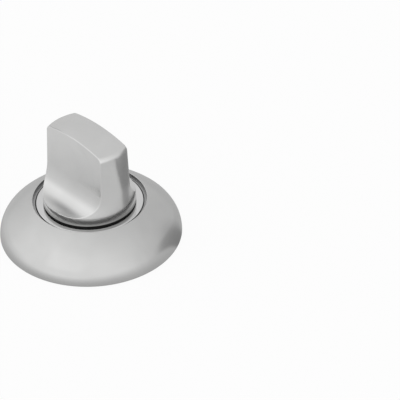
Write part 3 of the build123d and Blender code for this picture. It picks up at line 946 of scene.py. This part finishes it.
def settle(point, passes=6, step=1e-4):
    """Move a point onto the rounded surface, along the steepest way."""
    x, y, z = point
    for _ in range(passes):
        here = outside_knob(x, y, z)
        slope = Vector((
            outside_knob(x + step, y, z) - here,
            outside_knob(x, y + step, z) - here,
            outside_knob(x, y, z + step) - here,
        )) / step
        move = slope * (here / max(slope.length_squared, LEAST_SLOPE))
        x, y, z = x - move.x, y - move.y, z - move.z
    return x, y, z


print("scoop centre", round(scoop_x, 2), round(scoop_z, 2))

# %% [markdown]
# A level cut of the knob
#
# A level cut through the blade is a circle with two sides cut off. Each row of the mesh is such a
# cut: points along the flat, then points round the circle, crowded near the corner between them,
# because the rounding of the edge needs them there.

# %% Make a level cut
CROWDED = (0.0, 0.1, 0.2, 0.32, 0.46, 0.62, 0.85, 1.2)    # millimetres from an edge
CROWDED_SHARE = 0.6                    # of a length that the crowded points may take
FLAT_POINTS, ROUND_POINTS = 20, 24


def away_from_edge(length, count):
    """Distances from an edge to the far end, crowded near the edge."""
    near = [d for d in CROWDED if d < CROWDED_SHARE * length]
    far = count - len(near)
    start = near[-1]
    return near + [start + (length - start) * (index + 1) / far for index in range(far)]


def quarter(half_width, radius):
    """Points of a quarter of a level cut, from the middle of the flat to the middle of the end."""
    corner = sqrt(radius**2 - half_width**2)
    flat = [(half_width, corner - d) for d in away_from_edge(corner, FLAT_POINTS)][::-1]
    start = atan2(corner, half_width)
    swept = away_from_edge(radius * (pi / 2 - start), ROUND_POINTS)
    turned = [(radius * cos(start + d / radius), radius * sin(start + d / radius)) for d in swept]
    return flat + turned[1:]


def whole_cut(half_width, radius):
    """The whole level cut, as points in order round the axis."""
    first = quarter(half_width, radius)
    left = [(-x, y) for x, y in first[::-1]][1:]
    lower = [(-x, -y) for x, y in first][1:]
    last = [(x, -y) for x, y in first[::-1]][1:-1]
    return first + left + lower + last


print("points in a cut", len(whole_cut(BLADE_HALF, KNOB_RADIUS)))

# %% [markdown]
# The rows of the knob
#
# The rows go from the shank outwards under the foot, up the foot, follow the scoop by its angle,
# run up the blade, and end at the crown. They lie closest where the surface bends most: at the
# foot's edge, at the scoop's ends and at the top edge.

# %% Stack the rows of the knob
SHANK_RADIUS = 6.0
FOOT_RADII = (SHANK_RADIUS, 9.0, 11.5, 12.3, 12.5, 12.7, 12.9, 13.05, 13.15, 13.22)
FOOT_LIFTS = (0.0, 0.05, 0.1, 0.17, 0.25, 0.4, 0.8, 1.2, 1.6, 1.85, 2.02, 2.14, 2.23, 2.3, 2.34)
SCOOP_STEPS = 44
BLADE_SHARES = [index / 16 for index in range(1, 15)] + [0.91, 0.94, 0.96, 0.975, 0.987, 1.0]
TOP_INSETS = (0.012, 0.025, 0.04, 0.06, 0.09, 0.14, 0.22, 0.34, 0.5, 0.68, 0.86)
HAIR = 0.001                           # millimetres that keep a cut from closing up


def knob_rows():
    """Rows of points from the shank outwards and up to the middle of the crown."""
    floor_z = scoop_z - SCOOP_RADIUS
    lowest = whole_cut(scoop_x - HAIR, wall_radius(floor_z))
    spokes = [(x / hypot(x, y), y / hypot(x, y)) for x, y in lowest]
    rows = []
    for radius in FOOT_RADII:
        rows.append([(radius * x, radius * y, KNOB_BOTTOM) for x, y in spokes])
    for lift in FOOT_LIFTS:
        radius = wall_radius(KNOB_BOTTOM + lift)
        rows.append([(radius * x, radius * y, KNOB_BOTTOM + lift) for x, y in spokes])
    for index in range(SCOOP_STEPS + 1):
        turn = pi / 2 - (pi / 2 - BLADE_DRAFT) * index / SCOOP_STEPS
        x = scoop_x - SCOOP_RADIUS * cos(turn)
        z = scoop_z - SCOOP_RADIUS * sin(turn)
        cut = whole_cut(min(x, scoop_x - HAIR), wall_radius(z))
        rows.append([(*place, z) for place in cut])
    for share in BLADE_SHARES:
        row = []
        level = SCOOP_START + (KNOB_TOP - SCOOP_START) * share
        half_width = BLADE_HALF + (KNOB_TOP - level) * tan(BLADE_DRAFT)
        for x, y in whole_cut(half_width, wall_radius(level)):
            z = SCOOP_START + (crown_height(x, y) - SCOOP_START) * share
            row.append((x, y, z))
        rows.append(row)
    edge = [(x, y) for x, y, z in rows[-1]]
    for inset in TOP_INSETS:
        shrunk = [(x * (1 - inset), y * (1 - inset)) for x, y in edge]
        rows.append([(x, y, crown_height(x, y)) for x, y in shrunk])
    return rows


rows = knob_rows()
print("rows", len(rows), "of", len(rows[0]), "points")

# %% [markdown]
# The knob and its shank
#
# The rows are moved onto the rounded form, joined by faces and closed at the crown. The first
# three stay where they are, because they lie flat under the foot. The shank below them has its
# right shape in the solid already, so its faces are copied from there.

# %% Make the knob
FLAT_ROWS = 3                          # rows under the foot that aren't moved


def take_shank(mesh):
    """Add the shank below the knob, with its groove, flats and square socket, as the solid has it."""
    shape = bmesh.new()
    shape.from_mesh(nodes["knob"].data)
    shape.transform(nodes["knob"].matrix_world)
    reach = (SHANK_RADIUS + SLACK) * MM
    spare = [
        face for face in shape.faces
        if any(corner.co.z > (KNOB_BOTTOM + SLACK) * MM or hypot(*corner.co.xy) > reach
               for corner in face.verts)
    ]
    bmesh.ops.delete(shape, geom=spare, context="FACES")
    shank = bpy.data.meshes.new("shank")
    shape.to_mesh(shank)
    shape.free()
    whole = bmesh.new()
    whole.from_mesh(mesh)
    whole.from_mesh(shank)
    whole.to_mesh(mesh)
    whole.free()
    print("shank faces", len(shank.polygons))
    bpy.data.meshes.remove(shank)


def knob_mesh(rows):
    """The knob with its shank, from its rows."""
    count = len(rows[0])
    points = []
    for index, row in enumerate(rows):
        points += row if index < FLAT_ROWS else [settle(point) for point in row]
    faces = []
    for row in range(len(rows) - 1):
        for index in range(count):
            after = (index + 1) % count
            low, high = row * count, (row + 1) * count
            faces.append((low + index, low + after, high + after, high + index))
    last = (len(rows) - 1) * count
    points.append((0, 0, crown_height(0, 0)))
    for index in range(count):
        faces.append((last + index, last + (index + 1) % count, len(points) - 1))
    mesh = bpy.data.meshes.new("knob_blade")
    mesh.from_pydata([(x * MM, y * MM, z * MM) for x, y, z in points], [], faces)
    take_shank(mesh)
    mark_sharp(mesh, 40.0)
    return mesh


finish_piece("knob_blade", knob_mesh(rows), knob_nickel, "turn", "knob")
